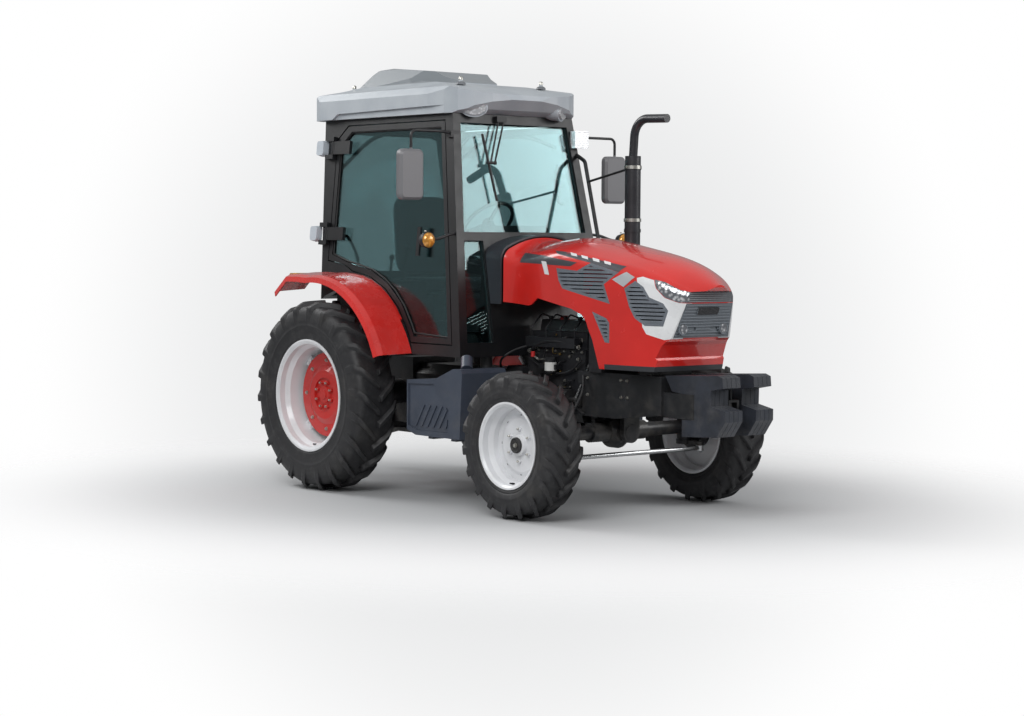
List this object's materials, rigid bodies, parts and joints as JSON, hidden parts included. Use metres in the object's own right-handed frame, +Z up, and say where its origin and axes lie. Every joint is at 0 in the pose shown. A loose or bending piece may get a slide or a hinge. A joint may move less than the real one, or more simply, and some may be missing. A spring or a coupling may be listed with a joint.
{
  "type": "farm tractor",
  "caption": "Utility farm tractor with driven steered front wheels, glazed cab with hinged doors, lifting hood, front suitcase weights and rear three-point hitch.",
  "frame": {"origin": "on the ground, under the middle of the whole length and width", "axes": "+X forwards, +Y to the left, +Z up"},
  "size_m": [4.1714, 1.97, 2.8918],
  "materials": {
    "red_paint": "gloss enamel, red",
    "black_frame": "satin black paint",
    "engine_black": "cast iron painted satin black",
    "weight_grey": "painted dark blue grey",
    "tyre_rubber": "matt black rubber",
    "rim_white": "light grey enamel",
    "disc_red": "gloss enamel, red",
    "tank_grey": "moulded plastic, dark blue grey",
    "roof_grey": "moulded plastic, light grey",
    "cab_black": "gloss black paint",
    "glass_tint": "lightly tinted clear glass",
    "shroud_grey": "moulded plastic, dark grey",
    "grille_grey": "moulded plastic, mid grey",
    "lamp_clear": "clear lens over bright reflector",
    "lamp_amber": "amber and clear lens",
    "mirror_shell": "moulded plastic, grey brown",
    "exhaust_metal": "heat resistant dark paint",
    "trim_black": "moulded plastic, black",
    "seat_cover": "woven seat cover, black",
    "bright_steel": "plain machined steel",
    "panel_white": "gloss white enamel",
    "floor_mat": "ribbed floor mat"
  },
  "bodies": {
    "chassis": {"cab_floor": "floor_mat", "cab_frame": "cab_black", "cab_glass": "glass_tint", "cab_mounts": "black_frame", "dashboard": "trim_black", "drawbar": "black_frame", "engine": "engine_black", "exhaust": "exhaust_metal", "fenders": "red_paint", "front_axle": "engine_black", "front_frame": "black_frame", "front_weights": "weight_grey", "fuel_tanks": "tank_grey", "hinge_covers": "roof_grey", "levers": "trim_black", "marker_lamps": "lamp_amber", "mirrors": "mirror_shell", "radiator": "engine_black", "rear_axle": "engine_black", "roof": "roof_grey", "seat_cushions": "seat_cover", "seat_frame": "black_frame", "shroud": "shroud_grey", "stack_stay": "black_frame", "transmission": "engine_black", "wipers": "trim_black", "work_lights": "lamp_clear"},
    "rear_wheel_right": {"rear_tyre_right": "tyre_rubber", "rear_rim_right": "rim_white", "rear_disc_right": "disc_red"},
    "rear_wheel_left": {"rear_tyre_left": "tyre_rubber", "rear_rim_left": "rim_white", "rear_disc_left": "disc_red"},
    "front_wheel_right": {"front_tyre_right": "tyre_rubber", "front_rim_right": "rim_white"},
    "front_wheel_left": {"front_tyre_left": "tyre_rubber", "front_rim_left": "rim_white"},
    "steering_right": {"knuckle_right": "engine_black"},
    "steering_left": {"knuckle_left": "engine_black"},
    "track_rod": {"tie_rod": "bright_steel"},
    "hand_wheel": {"steering_wheel": "trim_black"},
    "door_right": {"door_frame_right": "cab_black", "door_glass_right": "glass_tint"},
    "door_left": {"door_frame_left": "cab_black", "door_glass_left": "glass_tint"},
    "hood_assembly": {"hood": "red_paint", "grille": "grille_grey", "headlights": "lamp_clear", "side_vents": "grille_grey", "nose_panels": "panel_white"},
    "lift": {"lift_arms": "black_frame"},
    "lift_links": {"lift_rods": "black_frame"},
    "lower_hitch": {"lower_links": "black_frame"},
    "upper_hitch": {"top_link": "black_frame"},
    "power_shaft": {"pto_shaft": "bright_steel"}
  },
  "joints": [
    {"name": "rear_wheel_right_spin", "type": "hinge", "parent": "chassis", "child": "rear_wheel_right", "pos_m": [-1.12225, -0.82, 0.645], "axis": [0, 1, 0], "continuous": true},
    {"name": "rear_wheel_left_spin", "type": "hinge", "parent": "chassis", "child": "rear_wheel_left", "pos_m": [-1.12225, 0.82, 0.645], "axis": [0, 1, 0], "continuous": true},
    {"name": "steer_right", "type": "hinge", "parent": "chassis", "child": "steering_right", "pos_m": [0.91775, -0.6, 0.5], "axis": [0, 0, 1], "range_deg": [-35, 35]},
    {"name": "steer_left", "type": "hinge", "parent": "chassis", "child": "steering_left", "pos_m": [0.91775, 0.6, 0.5], "axis": [0, 0, 1], "range_deg": [-35, 35]},
    {"name": "front_wheel_right_spin", "type": "hinge", "parent": "steering_right", "child": "front_wheel_right", "pos_m": [0.91775, -0.78, 0.455], "axis": [0, 1, 0], "continuous": true},
    {"name": "front_wheel_left_spin", "type": "hinge", "parent": "steering_left", "child": "front_wheel_left", "pos_m": [0.91775, 0.78, 0.455], "axis": [0, 1, 0], "continuous": true},
    {"name": "track_rod_pivot", "type": "hinge", "parent": "steering_right", "child": "track_rod", "pos_m": [1.06775, -0.6, 0.37], "axis": [0, 0, 1], "range_deg": [-35, 35]},
    {"name": "hand_wheel_spin", "type": "hinge", "parent": "chassis", "child": "hand_wheel", "pos_m": [-0.38025, 0, 1.817], "axis": [-0.7282, 0, 0.6854], "continuous": true},
    {"name": "door_right_hinge", "type": "hinge", "parent": "chassis", "child": "door_right", "pos_m": [-1.41425, -0.60563, 1.74151], "axis": [0, -0.0946, -0.9955], "range_deg": [0, 65]},
    {"name": "door_left_hinge", "type": "hinge", "parent": "chassis", "child": "door_left", "pos_m": [-1.41425, 0.60563, 1.74151], "axis": [0, -0.0946, 0.9955], "range_deg": [0, 65]},
    {"name": "hood_hinge", "type": "hinge", "parent": "chassis", "child": "hood_assembly", "pos_m": [0.23775, 0, 1.672], "axis": [0, -1, 0], "range_deg": [0, 50]},
    {"name": "lift_arm_pivot", "type": "hinge", "parent": "chassis", "child": "lift", "pos_m": [-1.27225, 0, 0.91], "axis": [0, 1, 0], "range_deg": [0, 35]},
    {"name": "lift_rod_pivot", "type": "hinge", "parent": "lift", "child": "lift_links", "pos_m": [-1.59379, 0, 0.83577], "axis": [0, 1, 0], "range_deg": [-35, 35]},
    {"name": "lower_link_pivot", "type": "hinge", "parent": "chassis", "child": "lower_hitch", "pos_m": [-1.27225, 0, 0.43], "axis": [0, 1, 0], "range_deg": [0, 35]},
    {"name": "top_link_pivot", "type": "hinge", "parent": "chassis", "child": "upper_hitch", "pos_m": [-1.45225, 0, 0.79], "axis": [0, 1, 0], "range_deg": [0, 55]},
    {"name": "power_shaft_spin", "type": "hinge", "parent": "chassis", "child": "power_shaft", "pos_m": [-1.46225, 0, 0.54], "axis": [1, 0, 0], "continuous": true}
  ],
  "couplings": [
    {"joint": "steer_left", "follows": "steer_right", "ratio": 1},
    {"joint": "track_rod_pivot", "follows": "steer_right", "ratio": -1},
    {"joint": "lift_rod_pivot", "follows": "lift_arm_pivot", "ratio": -1},
    {"joint": "lower_link_pivot", "follows": "lift_arm_pivot", "ratio": 1}
  ]
}
